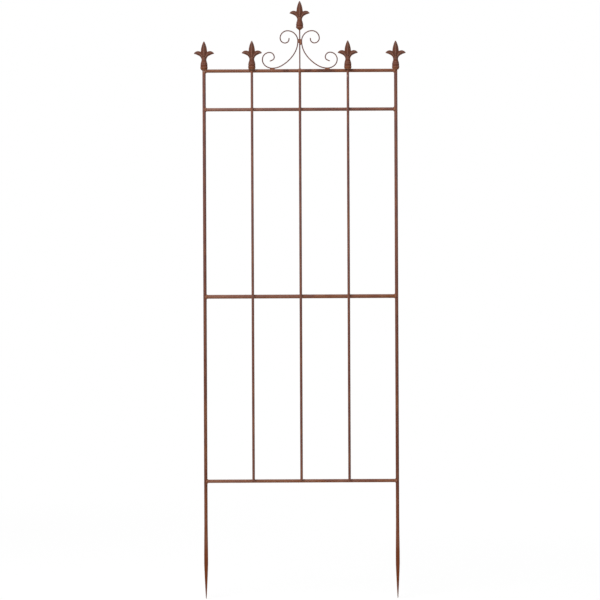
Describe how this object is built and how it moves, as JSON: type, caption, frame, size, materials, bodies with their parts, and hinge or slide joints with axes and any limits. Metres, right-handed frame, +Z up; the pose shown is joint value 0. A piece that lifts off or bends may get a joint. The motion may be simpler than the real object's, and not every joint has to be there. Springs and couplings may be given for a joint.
{
  "type": "garden trellis",
  "caption": "Rusted round-bar trellis panel for climbing plants, with spade-tipped legs, cast lily finials and a crest of paired wire scrolls.",
  "frame": {"origin": "midway between the tips of the two legs, on the plane of the posts", "axes": "+Z up along the posts, +X to the right seen from the front, -Y the front, where the lighter rods lie"},
  "size_m": [0.5324, 0.027, 1.4998],
  "materials": {
    "rusted_bar": "dry red-brown rust on hot-rolled steel bar",
    "rusted_casting": "dry dark brown rust on a sand-cast surface",
    "weld_metal": "orange-brown rust on unground weld beads"
  },
  "bodies": {
    "root": {"bottom_rail": "rusted_bar", "middle_rail": "rusted_bar", "upper_rail": "rusted_bar", "top_rail": "rusted_bar", "left_post": "rusted_bar", "right_post": "rusted_bar", "left_rod": "rusted_bar", "centre_rod": "rusted_bar", "right_rod": "rusted_bar", "centre_stem": "rusted_bar", "left_scroll": "rusted_bar", "right_scroll": "rusted_bar", "left_post_finial": "rusted_casting", "right_post_finial": "rusted_casting", "left_rod_finial": "rusted_casting", "right_rod_finial": "rusted_casting", "centre_finial": "rusted_casting", "left_bottom_rail_weld": "weld_metal", "right_bottom_rail_weld": "weld_metal", "left_middle_rail_weld": "weld_metal", "right_middle_rail_weld": "weld_metal", "left_upper_rail_weld": "weld_metal", "right_upper_rail_weld": "weld_metal", "left_top_rail_weld": "weld_metal", "right_top_rail_weld": "weld_metal", "left_rod_bottom_rail_weld": "weld_metal", "left_rod_middle_rail_weld": "weld_metal", "left_rod_upper_rail_weld": "weld_metal", "left_rod_top_rail_weld": "weld_metal", "centre_rod_bottom_rail_weld": "weld_metal", "centre_rod_middle_rail_weld": "weld_metal", "centre_rod_upper_rail_weld": "weld_metal", "centre_rod_top_rail_weld": "weld_metal", "right_rod_bottom_rail_weld": "weld_metal", "right_rod_middle_rail_weld": "weld_metal", "right_rod_upper_rail_weld": "weld_metal", "right_rod_top_rail_weld": "weld_metal", "stem_foot_weld": "weld_metal", "left_scroll_foot_weld": "weld_metal", "right_scroll_foot_weld": "weld_metal", "left_scroll_stem_weld": "weld_metal", "right_scroll_stem_weld": "weld_metal"}
  },
  "joints": []
}
